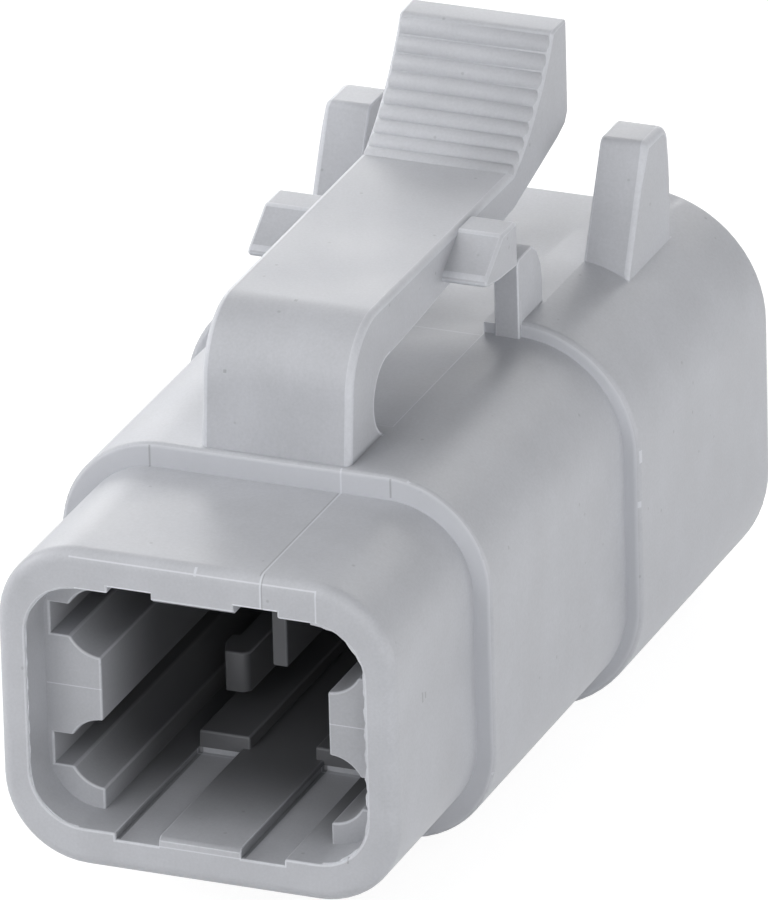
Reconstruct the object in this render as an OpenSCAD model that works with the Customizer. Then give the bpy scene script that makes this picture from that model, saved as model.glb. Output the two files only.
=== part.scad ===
// Four-way rectangular sealed connector plug with an integral latch lever.
// Millimetres: X across the width, +Y from the mating face to the wire end, +Z up.
// The origin is the centre of the contact pattern on the mating face.

/* [Contacts] */
// Distance between the two contacts of one column
row_pitch = 4.19; // [3.9:0.01:4.4]
// Distance between the two contact columns
col_pitch = 7.14; // [6.9:0.02:7.3]
// Diameter of each contact channel in the contact blocks
channel_d = 2.16; // [1.9:0.02:2.3]
// Diameter of each contact bore behind the wedge bay
bore_d = 2.7; // [2.3:0.05:2.9]
// Height of the slot that keys each contact
tang_h = 1.0; // [0.6:0.05:1.4]
// How far a key slot reaches outwards from the contact axis
tang_reach = 1.62; // [1.3:0.02:1.66]
// Length of each flexible retention finger
finger_l = 6.6; // [4:0.1:7.4]
// Thickness of each retention finger
finger_t = 0.75; // [0.5:0.05:0.9]
// Height of each retention finger
finger_h = 1.3; // [0.9:0.05:1.7]
// Reach of the tooth at the tip of a retention finger
tooth = 0.35; // [0.2:0.05:0.5]
// Gap between a retention finger and the contact channel
finger_gap = 0.05; // [0.02:0.01:0.3]

/* [Nose] */
// Outer width of the nose shell
nose_w = 12.46; // [11.9:0.02:12.9]
// Outer height of the nose shell
nose_h = 10.16; // [9.8:0.02:10.8]
// Outer corner radius of the nose shell
nose_r = 2.6; // [2.2:0.05:3.2]
// Length of the nose shell in front of the collar
nose_l = 6.25; // [5.5:0.05:7]
// Rounding of the nose shell's front edge
nose_edge = 0.4; // [0.2:0.05:0.5]
// Width of the mouth
mouth_w = 10.64; // [10.5:0.02:10.8]
// Height of the mouth
mouth_h = 7.68; // [7.4:0.02:7.9]
// Corner radius of the mouth
mouth_r = 1.65; // [1.2:0.05:2]
// How far the contact blocks sit behind the mating face
block_set = 1.45; // [1:0.05:2.5]
// Depth of the grooves in the top and bottom walls of the mouth
groove_d = 0.2; // [0.1:0.02:0.3]
// Distance from the middle to the outer edge of a groove
groove_out = 2.66; // [2.4:0.02:3]
// Distance from the middle to the inner edge of a groove
groove_in = 1.29; // [1:0.02:1.6]
// Height of the guide pads between the grooves
pad_h = 0.1; // [0.05:0.01:0.2]
// Length of the grooves from the mating face
groove_l = 6.4; // [5:0.1:7.4]
// Height of the shoulder that ends each groove
shoulder_h = 0.5; // [0.3:0.02:0.7]
// Depth of the wedge bay from the mating face
bay_l = 14.6; // [13:0.1:15.4]
// Thickness of the rib that hangs in the middle of the bay
rib_t = 0.48; // [0.3:0.02:0.8]
// Height of the gap under that rib
rib_gap = 2.95; // [2.4:0.05:3.4]

/* [Body] */
// Width of the body behind the collar
body_w = 13.6; // [13.2:0.1:14.2]
// Height of the body
body_h = 11.66; // [11.4:0.02:12]
// Corner radius of the body
body_r = 3.25; // [2.8:0.05:3.4]
// Rounding of the collar's front edge
collar_edge = 0.15; // [0.1:0.05:0.35]
// Length of the body from the collar to the bell
body_l = 10.65; // [10:0.05:12]

/* [Bell] */
// Width of the bell round the wire seal
bell_w = 14.6; // [14.3:0.1:15.2]
// Height of the bell
bell_h = 12.6; // [12.3:0.05:13]
// Corner radius of the bell
bell_r = 3.85; // [3:0.05:4.2]
// Rounding of the bell's front edge
bell_edge = 0.2; // [0.1:0.05:0.4]
// Rounding of the bell's rear edge
rim_edge = 0.3; // [0.1:0.05:0.4]
// Length of the bell
bell_l = 10.9; // [10:0.05:12]
// Wall of the bell round the seal pocket
bell_wall = 1.2; // [1:0.05:1.4]
// Width of the flat ledge along the top of the bell
ledge_w = 7.44; // [7:0.02:7.5]
// Depth of that ledge below the bell's top
ledge_d = 0.15; // [0.05:0.01:0.25]
// Width of the flat strip under the lever
strip_w = 4.8; // [4.6:0.05:5.4]
// Depth of that strip below the body's top
strip_d = 0.13; // [0.05:0.01:0.25]

/* [Latch lever] */
// Width of the lever at its foot
lever_w = 4.72; // [4.3:0.02:4.8]
// Width of the lever between the lugs
lever_mid_w = 4.76; // [4.5:0.02:5.1]
// Width of the thumb pad
thumb_w = 4.96; // [4.7:0.02:5.4]
// Distance from the collar's face to the back of the lever's foot
foot_t = 2.2; // [1.9:0.05:2.5]
// Distance from the collar's face to the front of the lever's foot
foot_set = 0.22; // [0:0.02:0.4]
// Lean of the foot's front face, up to the bend
foot_lean = 0.2; // [0:0.02:0.4]
// Height of the lever's top face above the body
lever_rise = 4.08; // [3.9:0.02:4.6]
// Thickness of the lever's beam behind the bend
beam_t = 1.84; // [1.6:0.02:2.1]
// Rise of the beam's underside up to the thumb pad
under_rise = 0.65; // [0.4:0.05:0.8]
// Outer radius of the lever's bend
bend_r = 2.2; // [1.6:0.05:2.4]
// Distance from the bell's front to the foot of the thumb pad
thumb_set = 2.6; // [2:0.05:3]
// Length of the thumb pad's grip face along the lever
grip_run = 3.3; // [3:0.05:4]
// Rise of the grip face above the lever
grip_rise = 3.2; // [2.4:0.05:3.4]
// Radius of the hollow of the grip face
grip_r = 7.5; // [6.5:0.5:16]
// Length of the flat on top of the thumb pad
crown_l = 1.05; // [0.6:0.05:1.4]
// Height of the thumb pad's rear face
thumb_back = 2.9; // [2.2:0.05:3]
// Number of grip ribs on the thumb pad
rib_n = 9; // [6:1:12]
// Height of a grip rib
rib_h = 0.12; // [0.1:0.01:0.22]
// Distance between the outer faces of the side lugs
lug_span = 7.6; // [7:0.02:7.8]
// Length of each side lug at its bottom
lug_l = 2.56; // [2.2:0.02:3]
// Height of the lever's top face above the bottom of the side lugs
lug_h = 1.5; // [1.2:0.05:1.6]
// How far a side lug's top lies below the lever's top face
lug_drop = 0.08; // [0:0.02:0.2]
// Run of the ramp on the front of each side lug
lug_ramp = 1.44; // [0.8:0.02:1.6]
// Gap between a side lug and its guard post
lug_gap = 0.42; // [0.4:0.02:0.8]
// Gap between the lever and its foot at the flexure
flex_gap = 0.05; // [0.03:0.01:0.1]

/* [Guard posts and ears] */
// Thickness of each guard post
post_t = 0.78; // [0.6:0.02:0.85]
// Distance between the inner faces of the guard posts
post_gap = 5.68; // [5.6:0.02:5.9]
// How far a guard post stands in front of the bell
post_set = 0.18; // [0:0.02:0.4]
// Length of a guard post
post_l = 1.95; // [1.5:0.05:2.2]
// Height of a guard post above the bell
post_h = 2.05; // [1.8:0.05:2.7]
// Thickness of each ear
ear_t = 1.48; // [1:0.02:1.6]
// Distance between the inner faces of the ears
ear_gap = 7.44; // [7.3:0.02:7.7]
// Distance from the bell's front to an ear
ear_set = 4.8; // [4.6:0.05:5.6]
// Length of an ear at its foot
ear_l = 3.45; // [3:0.05:4]
// Slope of an ear's front edge over its height
ear_slope = 1.5; // [0.8:0.05:1.8]
// Height of an ear above the bell
ear_h = 3.4; // [2.8:0.05:3.6]
// Radius of an ear's front top corner
ear_front_r = 0.3; // [0.1:0.05:0.5]
// Radius of an ear's rear top corner
ear_back_r = 0.6; // [0.4:0.05:0.9]

/* [Wire seal and retainer] */
// Length of the wire seal
seal_l = 6.0; // [5:0.1:6.6]
// Gap between the seal's lips and the pocket
seal_clear = 0.05; // [0.02:0.01:0.1]
// Depth of the grooves between the seal's lips
seal_groove = 0.45; // [0.2:0.05:0.6]
// Number of lips on the seal
lip_n = 3; // [2:1:4]
// Share of the seal's length that the lips take up
lip_share = 0.6; // [0.4:0.05:0.7]
// Diameter of each wire hole in the seal
seal_hole_d = 1.5; // [1.2:0.1:1.8]
// Depth of the grooves inside each wire hole
hole_groove = 0.3; // [0.15:0.05:0.4]
// Width of the grooves inside each wire hole
groove_w = 0.9; // [0.5:0.1:1.2]
// Thickness of the retainer plate
plate_t = 2.2; // [1.8:0.1:2.6]
// Diameter of each wire port in the retainer
port_d = 2.9; // [2.4:0.1:3.2]
// Chamfer on the rear edge of each wire port
port_edge = 0.3; // [0.1:0.05:0.4]
// Gap between the retainer plate and the pocket
plate_clear = 0.1; // [0.05:0.01:0.15]
// Height of the snap bead round the retainer plate
bead_h = 0.22; // [0.15:0.01:0.3]
// How far the plate sits inside the bell's rim
plate_set = 0.35; // [0.2:0.05:0.6]

/* [Hidden] */
$fn = 64;
plastic = [0.72, 0.73, 0.75];
rubber = [0.25, 0.26, 0.27];
over = 1;
y_collar = nose_l;
y_bell = y_collar + body_l;
y_end = y_bell + bell_l;
cx = col_pitch / 2;
cz = row_pitch / 2;
body_top = body_h / 2;
bell_top = bell_h / 2;
strip_z = body_top - strip_d;
ledge_z = bell_top - ledge_d;
pocket_w = bell_w - 2 * bell_wall;
pocket_h = bell_h - 2 * bell_wall;
pocket_r = bell_r - bell_wall;
plate_y = y_end - plate_set - plate_t;
pocket_y = plate_y - seal_l;
bead_l = 0.6;
bead_y = plate_y + (plate_t - bead_l) / 2;
lever_z = body_top + lever_rise;
slot_r = (lever_z - beam_t - strip_z) / 2;
slot_y = y_collar + foot_t + slot_r;
slot_z = strip_z + slot_r;
y_foot = y_collar + foot_set;
y_front = y_foot + foot_lean;
bend_z = lever_z - bend_r;
thumb_y = y_bell + thumb_set;
grip_end_y = thumb_y + grip_run;
crown_z = lever_z + grip_rise;
thumb_end_y = grip_end_y + crown_l;
under_z = lever_z - beam_t + under_rise;
y_post = y_bell - post_set;
lug_back = y_post - lug_gap;
lug_front = lug_back - lug_l;
finger_x = cx - channel_d / 2 - finger_gap - finger_t;
// Hollow of the grip face: the chord and the arc's centre
chord = norm([grip_run, grip_rise]);
chord_a = atan2(grip_rise, grip_run);
half_a = asin(chord / 2 / grip_r);
grip_c = [
    (thumb_y + grip_end_y) / 2 - sin(chord_a) * grip_r * cos(half_a),
    (lever_z + crown_z) / 2 + cos(chord_a) * grip_r * cos(half_a)
];
grip_a0 = chord_a - 90 - half_a;
rib_pitch = 2 * half_a / rib_n;
rib_r = grip_r * sin(rib_pitch / 2) * 1.32;
// Angle at which the curve of an ear's front top corner starts, square to the sloped edge
ear_a0 = 90 + atan2(ear_h, ear_slope);

// Points of an arc from angle a0 to angle a1
function arc(c, r, a0, a1, n = 8) = [
    for (i = [0:n]) c + r * [cos(a0 + (a1 - a0) * i / n), sin(a0 + (a1 - a0) * i / n)]
];

// Half width of the lever at a distance y
function half_w(y) = y < lug_front
    ? lever_w / 2 + (lever_mid_w - lever_w) / 2 * (y - y_collar) / (lug_front - y_collar)
    : lever_mid_w / 2 + (thumb_w - lever_mid_w) / 2 * (y - lug_front) / (thumb_end_y - lug_front);

// Place of the foot's front face at a height z below the bend
function front_y(z) = y_foot + foot_lean * (z - strip_z) / (bend_z - strip_z);

// Side profile in Y and Z, as thick as t and centred on X
module side(t) {
    rotate([90, 0, 90])
        linear_extrude(t, center = true)
            children();
}

// Rounded rectangle in X and Z, run along Y from y0 to y1, with its end edges rounded
module bar(w, h, r, y0, y1, f0 = 0, f1 = 0) {
    for (sx = [-1, 1]) {
        for (sz = [-1, 1]) {
            translate([sx * (w / 2 - r), 0, sz * (h / 2 - r)])
                rotate([-90, 0, 0])
                    rotate_extrude()
                        intersection() {
                            turned(r, y0, y1, f0, f1);
                            translate([0, y0])
                                square([r, y1 - y0]);
                        }
        }
    }
    side(w - 2 * r)
        outline(h / 2, y0, y1, f0, f1);
    linear_extrude(h - 2 * r, center = true)
        turned(w / 2, y0, y1, f0, f1);
}

// The outline below with its run along the second axis
module turned(a, y0, y1, f0, f1) {
    rotate(90)
        mirror([0, 1])
            outline(a, y0, y1, f0, f1);
}

// Lengthwise outline with the half size a and rounded ends
module outline(a, y0, y1, f0, f1) {
    difference() {
        translate([y0, -a])
            square([y1 - y0, 2 * a]);
        for (s = [-1, 1]) {
            if (f0 > 0) {
                scrap(y0, s * a, f0, 1, -s);
            }
            if (f1 > 0) {
                scrap(y1, s * a, f1, -1, -s);
            }
        }
    }
}

// What a rounding of radius f takes off a corner
module scrap(x, y, f, dx, dy) {
    difference() {
        translate([x - (dx > 0 ? over : f), y - (dy > 0 ? over : f)])
            square([over + f, over + f]);
        translate([x + dx * f, y + dy * f])
            circle(f);
    }
}

// A cylinder along Y from y0 to y1
module rod(d, y0, y1) {
    translate([0, y0, 0])
        rotate([-90, 0, 0])
            cylinder(d = d, h = y1 - y0);
}

// A box from one corner to the opposite one
module block(a, b) {
    translate(a)
        cube(b - a);
}

// One child at each of the four contact positions
module each_contact() {
    for (sx = [0, 1]) {
        for (sz = [-1, 1]) {
            mirror([sx, 0, 0])
                translate([cx, 0, sz * cz])
                    children();
        }
    }
}

// Plan view that the lever and its foot share
module lever_plan() {
    ys = [y_collar - over, lug_front, thumb_end_y + over];
    translate([0, 0, strip_z - over])
        linear_extrude(crown_z - strip_z + 3 * over)
            polygon([
                for (y = ys) [half_w(y), y],
                for (i = [2:-1:0]) [-half_w(ys[i]), ys[i]]
            ]);
}

// Foot of the lever, moulded on the body up to the flexure
module foot() {
    intersection() {
        side(lever_w * 2)
            polygon(concat(
                [[front_y(strip_z - over), strip_z - over], [front_y(slot_z), slot_z]],
                arc([slot_y, slot_z], slot_r, 180, 270),
                [[slot_y, strip_z - over]]
            ));
        lever_plan();
    }
}

// Lowered middle of the bell's top; beside the guard posts the top stays full
module ledge() {
    difference() {
        block([-ledge_w / 2, y_bell - over, ledge_z], [ledge_w / 2, y_end + over, bell_top + over]);
        for (s = [0, 1]) {
            mirror([s, 0, 0])
                block(
                    [post_gap / 2 + post_t / 2, y_bell - 2 * over, ledge_z - over],
                    [ledge_w / 2 + over, y_post + post_l, bell_top + 2 * over]
                );
        }
    }
}

// Guard post beside the lever, with its top sloped for the mating hook
module post() {
    top = bell_top + post_h;
    back = y_post + post_l;
    translate([post_gap / 2 + post_t / 2, 0, 0])
        side(post_t)
            polygon([
                [y_post, strip_z - over],
                [y_post, top - 0.1],
                [y_post + 0.1, top],
                [back - 0.75, top],
                [back - 0.4, top - 0.25],
                [back - 0.08, top - 0.8],
                [back, top - 1.3],
                [back, strip_z - over]
            ]);
}

// Ear beside the thumb pad
module ear() {
    top = bell_top + ear_h;
    y0 = y_bell + ear_set;
    y1 = y0 + ear_l;
    translate([ear_gap / 2 + ear_t / 2, 0, 0])
        side(ear_t)
            polygon(concat(
                [[y1, bell_top - over], [y0 - 0.2, bell_top - over]],
                [[y0, bell_top - 0.2]],
                arc([y0 + ear_slope + ear_front_r, top - ear_front_r], ear_front_r, ear_a0, 90, 4),
                arc([y1 - ear_back_r, top - ear_back_r], ear_back_r, 90, 0, 6)
            ));
}

// Flexible finger that holds a contact, with its tooth towards the channel
module finger() {
    tip = bay_l - finger_l;
    for (sz = [-1, 1]) {
        translate([0, 0, sz * cz - finger_h / 2])
            linear_extrude(finger_h)
                polygon([
                    [finger_x, bay_l + over],
                    [finger_x, tip + 0.2],
                    [finger_x + 0.2, tip],
                    [finger_x + finger_t, tip],
                    [finger_x + finger_t + tooth, tip + 0.9],
                    [finger_x + finger_t + tooth, tip + 1.2],
                    [finger_x + finger_t, tip + 1.2],
                    [finger_x + finger_t, bay_l + over]
                ]);
    }
}

// Open space behind the mouth that takes the wedge
module bay() {
    difference() {
        union() {
            block([-cx, -over, -mouth_h / 2], [cx, bay_l, mouth_h / 2]);
            for (s = [-1, 1]) {
                translate([s * (groove_in + groove_out) / 2, (groove_l - over) / 2, 0])
                    cube([groove_out - groove_in, groove_l + over, mouth_h + 2 * groove_d], center = true);
            }
        }
        for (s = [0, 1]) {
            mirror([0, 0, s]) {
                pad();
                for (t = [0, 1]) {
                    mirror([t, 0, 0])
                        block([groove_in - 0.25, groove_l, mouth_h / 2 - shoulder_h],
                              [groove_out, bay_l + over, mouth_h / 2 + over]);
                }
            }
            mirror([s, 0, 0])
                finger();
        }
        block([-rib_t / 2, groove_l, rib_gap - mouth_h / 2], [rib_t / 2, bay_l + over, mouth_h / 2 + over]);
    }
}

// Guide pad between the grooves, with a sloped front
module pad() {
    side(2 * groove_in)
        polygon([
            [0.35, mouth_h / 2],
            [0.35 + 2 * pad_h, mouth_h / 2 - pad_h],
            [bay_l + over, mouth_h / 2 - pad_h],
            [bay_l + over, mouth_h / 2 + over],
            [0.35, mouth_h / 2 + over]
        ]);
}

module housing() {
    color(plastic)
        difference() {
            union() {
                bar(nose_w, nose_h, nose_r, 0, y_collar + over, nose_edge);
                difference() {
                    union() {
                        bar(body_w, body_h, body_r, y_collar, y_bell + over, collar_edge);
                        bar(bell_w, bell_h, bell_r, y_bell, y_end, bell_edge, rim_edge);
                    }
                    block([-strip_w / 2, slot_y, strip_z], [strip_w / 2, y_end + over, bell_top + over]);
                    ledge();
                }
                foot();
                for (s = [0, 1]) {
                    mirror([s, 0, 0]) {
                        post();
                        ear();
                    }
                }
            }
            bar(mouth_w, mouth_h, mouth_r, -over, block_set);
            bay();
            each_contact() {
                rod(channel_d, -over, bay_l + over);
                rod(bore_d, bay_l, pocket_y + over);
                block([0, -over, -tang_h / 2], [tang_reach, bay_l, tang_h / 2]);
            }
            bar(pocket_w, pocket_h, pocket_r, pocket_y, y_end + over);
            bar(pocket_w + 2 * bead_h, pocket_h + 2 * bead_h, pocket_r + bead_h,
                bead_y - plate_clear, bead_y + bead_l + plate_clear);
        }
}

// Side lug of the lever, with a ramp in front and a square back
module lug() {
    bottom = lever_z - lug_h;
    top = lever_z - lug_drop;
    x0 = lever_w / 4;
    x1 = lug_span / 2;
    translate([(x0 + x1) / 2, 0, 0])
        side(x1 - x0)
            polygon([
                [lug_front, bottom + 0.4],
                [lug_front + 0.12, bottom + 0.56],
                [lug_front + lug_ramp, top],
                [lug_back - 0.2, top],
                [lug_back, top - 0.2],
                [lug_back, bottom - 0.02],
                [lug_front + 1.1, bottom + 0.1],
                [lug_front + 0.14, bottom + 0.3]
            ]);
}

module latch_lever() {
    z0 = slot_z + flex_gap;
    bend_c = [y_front + bend_r, bend_z];
    color(plastic) {
        intersection() {
            side(2 * thumb_w)
                polygon(concat(
                    [[front_y(z0), z0]],
                    arc(bend_c, bend_r, 180, 90, 12),
                    arc(grip_c, grip_r, grip_a0, grip_a0 + 2 * half_a, 12),
                    [[grip_end_y + 0.2, crown_z + 0.06], [thumb_end_y - 0.1, crown_z + 0.06]],
                    [[thumb_end_y, crown_z - 0.04], [thumb_end_y, crown_z - thumb_back]],
                    [[thumb_end_y - 0.25, crown_z - thumb_back - 0.35]],
                    [[thumb_end_y - 0.9, crown_z - thumb_back - 0.6]],
                    [[thumb_y, under_z]],
                    [[slot_y + slot_r, lever_z - beam_t + 0.04]],
                    arc([slot_y, slot_z], slot_r, 90, 180 - asin(flex_gap / slot_r))
                ));
            lever_plan();
        }
        intersection() {
            for (i = [0:rib_n - 1]) {
                a = grip_a0 + rib_pitch * (i + 0.5);
                translate([0, grip_c[0] + (grip_r + rib_r - rib_h) * cos(a),
                           grip_c[1] + (grip_r + rib_r - rib_h) * sin(a)])
                    rotate([0, 90, 0])
                        cylinder(r = rib_r, h = 2 * thumb_w, center = true);
            }
            lever_plan();
        }
        for (s = [0, 1]) {
            mirror([s, 0, 0])
                lug();
        }
    }
}

module wire_seal() {
    w = pocket_w - 2 * seal_clear;
    h = pocket_h - 2 * seal_clear;
    r = pocket_r - seal_clear;
    g = seal_groove;
    step = seal_l / lip_n;
    color(rubber)
        difference() {
            union() {
                bar(w - 2 * g, h - 2 * g, r - g, pocket_y, pocket_y + seal_l);
                for (i = [0:lip_n - 1]) {
                    y0 = pocket_y + step * (i + (1 - lip_share) / 2);
                    bar(w, h, r, y0, y0 + step * lip_share);
                }
            }
            each_contact() {
                rod(seal_hole_d, pocket_y - over, pocket_y + seal_l + over);
                for (i = [1, 2]) {
                    y0 = pocket_y + seal_l * i / 3;
                    rod(seal_hole_d + 2 * hole_groove, y0 - groove_w / 2, y0 + groove_w / 2);
                }
            }
        }
}

module seal_retainer() {
    w = pocket_w - 2 * plate_clear;
    h = pocket_h - 2 * plate_clear;
    r = pocket_r - plate_clear;
    color(plastic)
        difference() {
            union() {
                bar(w, h, r, plate_y, plate_y + plate_t, 0, 0.25);
                bar(w + 2 * bead_h, h + 2 * bead_h, r + bead_h, bead_y, bead_y + bead_l, 0.12, 0.12);
            }
            each_contact() {
                rod(port_d, plate_y - over, plate_y + plate_t + over);
                translate([0, plate_y + plate_t - port_edge, 0])
                    rotate([-90, 0, 0])
                        cylinder(d1 = port_d, d2 = port_d + 2 * (port_edge + over), h = port_edge + over);
            }
        }
}

housing();
latch_lever();
wire_seal();
seal_retainer();
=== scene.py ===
"""Looks of a rectangular sealed wire connector plug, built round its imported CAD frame."""

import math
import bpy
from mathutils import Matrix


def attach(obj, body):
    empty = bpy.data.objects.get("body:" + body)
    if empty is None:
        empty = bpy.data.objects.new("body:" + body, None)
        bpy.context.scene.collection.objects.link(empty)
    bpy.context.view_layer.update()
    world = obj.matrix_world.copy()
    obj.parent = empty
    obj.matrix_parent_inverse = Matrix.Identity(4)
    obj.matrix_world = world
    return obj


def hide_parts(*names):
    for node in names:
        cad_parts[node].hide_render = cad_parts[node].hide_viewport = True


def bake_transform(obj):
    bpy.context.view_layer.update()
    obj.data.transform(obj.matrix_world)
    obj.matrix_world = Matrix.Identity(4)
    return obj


bl_info = {
    "name": "Sealed Connector Plug",
    "version": (1, 0, 0),
    "blender": (4, 5, 0),
    "location": "View3D > Sidebar > Plug",
    "description": "Moulded looks, studio and camera for a rectangular sealed connector plug",
    "category": "Object",
}

import bpy
from mathutils import Matrix, Vector

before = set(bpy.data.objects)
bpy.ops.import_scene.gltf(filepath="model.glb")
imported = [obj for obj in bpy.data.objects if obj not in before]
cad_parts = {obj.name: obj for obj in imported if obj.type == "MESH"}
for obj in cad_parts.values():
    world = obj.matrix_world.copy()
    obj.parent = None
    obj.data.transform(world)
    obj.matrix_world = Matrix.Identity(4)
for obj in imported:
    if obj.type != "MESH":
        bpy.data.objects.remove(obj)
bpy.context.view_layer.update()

MM = 0.001

# Places taken from the CAD source, in millimetres: Y runs back from the mating face, Z up
COLLAR_Y = 6.25
BELL_Y = 16.9
NOSE_TOP = 5.08
BODY_TOP = 5.83
STRIP_Z = 5.7
FLOOR_Z = -6.3
LEVER_Z = 9.91
BEND_R = 2.2
SLOT = (9.635, 6.885)
SLOT_R = 1.185
GRIP_Y = 19.5
GRIP_R = 7.5
GRIP_CENTRE = (16.181, 16.635)
CROWN = ((22.76, 13.06), (22.82, 13.11), (22.95, 13.14), (23.3, 13.155), (23.85, 13.16))
PAD_END = 23.85
UNDER_Z = 8.72
LUG_FRONT = 13.74
LUG_BACK = 16.3
LUG_LOW = 8.41
RIB_COUNT = 9
RIB_R = 0.39
RIB_H = 0.12
LEDGE_X = 3.72
SLIT_X = 5.19
MOUTH_X = 5.32
MOUTH_Z = 3.84
MOUTH_R = 1.65
GROOVE = (1.975, 0.685, 0.2)  # middle, half width and depth
PAD_X = 1.29
PAD_FRONT = 1.45
PAD_Z = 3.74

# Lever: half its width at the start of the beam and of the grip and what each gains towards its
# end, the slopes of the underside, the angles between the ribs, and the lugs and ribs on X
BEAM_HALF, BEAM_GAIN = 2.36, 0.02
GRIP_HALF, GRIP_GAIN = 2.38, 0.1
UNDER_SLOPE, GRIP_SLOPE = 0.07, 0.258
VALLEYS = (-28.46, 4.5, 0.045)
LUG_SPAN = (1.4, 3.8)
RIB_END = 0.2
RIB_INSET = 0.21

# Limits that pick out the ledge, the ears and the lever's foot, in millimetres
LEDGE_TOP = 6.35
EAR_X = 5.1
EAR_LOW = 6.2
FOOT_X = 2.5
FOOT_Y = (6.3, 9.3)

# Where the dressed housing differs from its node, in millimetres: the pads of the bay run up to
# the rim, and the slit on the outer side of each contact channel ends a little further in
PAD_NEW_FRONT = 0.16
PAD_NEW_FOOT = 0.06
SLIT_MOVE = 0.05

# Widths of single roundings in millimetres, angles in degrees, and the distance in millimetres
# at which points are merged
PAD_EDGE = 0.03
LEVER_LOW_EDGE = 0.08
GRIP_EDGE = 0.09
LUG_EDGE = 0.1
LUG_ANGLE = 25
SHARP = 50
SEAL_SHARP = 60
FLAT = 0.8
MERGE = 0.0004

# Start and length of the stretch of the grip over which the lever's wide rounding narrows
GRIP_FADE = (0.5, 1.5)

# Share that a rounding may take of an edge beside it: less where the far end of that edge is
# rounded too. An edge that runs on in line, as its cosine tells, isn't counted
SHARED_ROOM = 0.45
FREE_ROOM = 0.9
IN_LINE = -0.8

# Flash on the two sides of the mouth: name, side and strength. It lies between two places on Y
# and is rooted a little way into the wall
FLASHES = (("flash_right", 1, 1.7), ("flash_left", -1, 0.8))
FLASH_Y = (0.07, 0.11)
FLASH_ROOT = 0.03
# Its points: number and step in degrees at each corner, number, step and first height between
CORNER_COUNT, CORNER_STEP = 15, 6
SIDE_COUNT, SIDE_STEP, SIDE_TOP = 41, 0.1, 2.0
SWAP_XY = Matrix(((0, 1, 0, 0), (1, 0, 0, 0), (0, 0, 1, 0), (0, 0, 0, 1)))

# Painted shade that darkens the bay with depth, and how much lighter the rounded edges are
# painted, as a painted highlight. A box is given as the middle and half the size on X, Y and Z
BAY_BOX = (0, 5.35, 8, 8.2, 0, 3.88)
BAY_DARK_Y = 6
BAY_SHADE = 0.95
BAY_TINT = 0.25
GROOVE_SHADE = (  # painted shadow in the corners of the floor's grooves
    (GROOVE[0] - GROOVE[1] + 0.05, 0.07, 3.45, 3.35, -3.9, 0.4),
    (-GROOVE[0] - GROOVE[1] + 0.05, 0.07, 3.45, 3.35, -3.9, 0.4),
)
GROOVE_STRENGTH = 0.6
EDGE_HIGHLIGHT_GAIN = 1.22

# Lines and marks, each a box as above, with how far their colour is from the plastic's and how
# strongly it shows. The bright ones are painted highlights, on the parting lines and nicks that
# the mould left and along edges where a rounding catches the light
BRIGHT_LINES = (
    (2.15, 0.022, 3.2, 3.0, NOSE_TOP, 0.2),  # parting line on the nose
    (2.15, 0.028, 0, 0.3, 4.5, 0.64),  # the same line on the rim
    (2.15, 0.028, COLLAR_Y, 0.12, 5.5, 0.5),  # and on the collar
    (3.87, 0.024, 0, 0.25, 4.38, 0.5),  # short line down the rim
    (0.11, 0.04, 0, 0.2, 4.92, 0.12),  # tick above the middle of the mouth
    (4.4, 0.9, 1.45, 0.03, 0, 0.016),  # line across a contact block
    (-4.4, 0.9, 1.45, 0.03, 0, 0.016),
    (0, 3.85, 0.1, 0.25, 4.85, 0.022),  # painted highlight along the top of the rim
    (0, 3.7, 0.03, 0.06, MOUTH_Z + 0.03, 0.035),  # painted highlight on the upper edge of the mouth, and of its grooves
    (GROOVE[0], GROOVE[1], 0.03, 0.06, MOUTH_Z + GROOVE[2] + 0.03, 0.035),
    (-GROOVE[0], GROOVE[1], 0.03, 0.06, MOUTH_Z + GROOVE[2] + 0.03, 0.035),
    (0, PAD_X, 0.02, 0.04, -MOUTH_Z - GROOVE[2], 0.02),  # painted highlight under the floor pad
    (7.3, 0.15, 17.06, 0.07, 2.4, 0.2),  # nicks in the bell's front ring
    (7.3, 0.15, 16.98, 0.05, 0.87, 0.1),
)
BRIGHT_TINT, BRIGHT_STRENGTH = 1.5, 0.55
DARK_LINES = (
    (2.09, 0.02, 3.2, 3.0, NOSE_TOP, 0.2),  # beside the parting line
    (2.2, 0.02, 0, 0.3, 4.5, 0.6),
    (3.71, 0.03, COLLAR_Y, 0.06, 5.45, 0.3),  # marks on the collar
    (-3.89, 0.03, COLLAR_Y, 0.06, 5.4, 0.34),
    (-1.62, 0.05, 6.7, 0.3, 8.22, 0.05),  # marks on the front and the top of the bend
    (-0.11, 0.05, 8.64, 0.06, LEVER_Z, 0.2),
    (6.23, 0.2, 2.2, 0.05, 0.92, 0.16),  # scuff on the nose side
    (6.23, 0.2, 2.42, 0.05, 0.9, 0.1),
    (4.67, 0.03, 0, 0.2, -3.57, 0.1),  # tick low on the rim
)
DARK_TINT, DARK_STRENGTH = 0.5, 0.5
# Painted light: the front faces of the collar and the bell ring are made lighter, as if more light
# fell on them
RING_FACES = ((0, 8, COLLAR_Y, 0.03, 0, 7), (0, 8, BELL_Y, 0.03, 0, 7))
RING_TINT, RING_STRENGTH = 1.2, 0.7

# Painted highlight round the rounded rim of the hollow of the bend: how far outside it, half its
# width, how far back it goes, and its middle and half size on X
RIM_OUT = 0.09
RIM_HALF = 0.032
RIM_BACK = 0.1
RIM_X = (2.36, 0.06)

# Surface of the plastic: the span of a noise that counts, what it does to the colour and the
# roughness, the specks, and the depth of the bump in metres
NOISE_SPAN = (0.3, 0.7)
CLOUD_TINTS = (0.93, 1.05)
GRAIN_TINTS = (0.96, 1.04)
ROUGH_SPREAD = (-0.05, 0.07)
SPECK_SCALE = 900
SPECK_RADII = (0.035, 0.06)
SPECK_TONE = 0.62
BUMP_DEPTH = 0.00002

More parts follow.
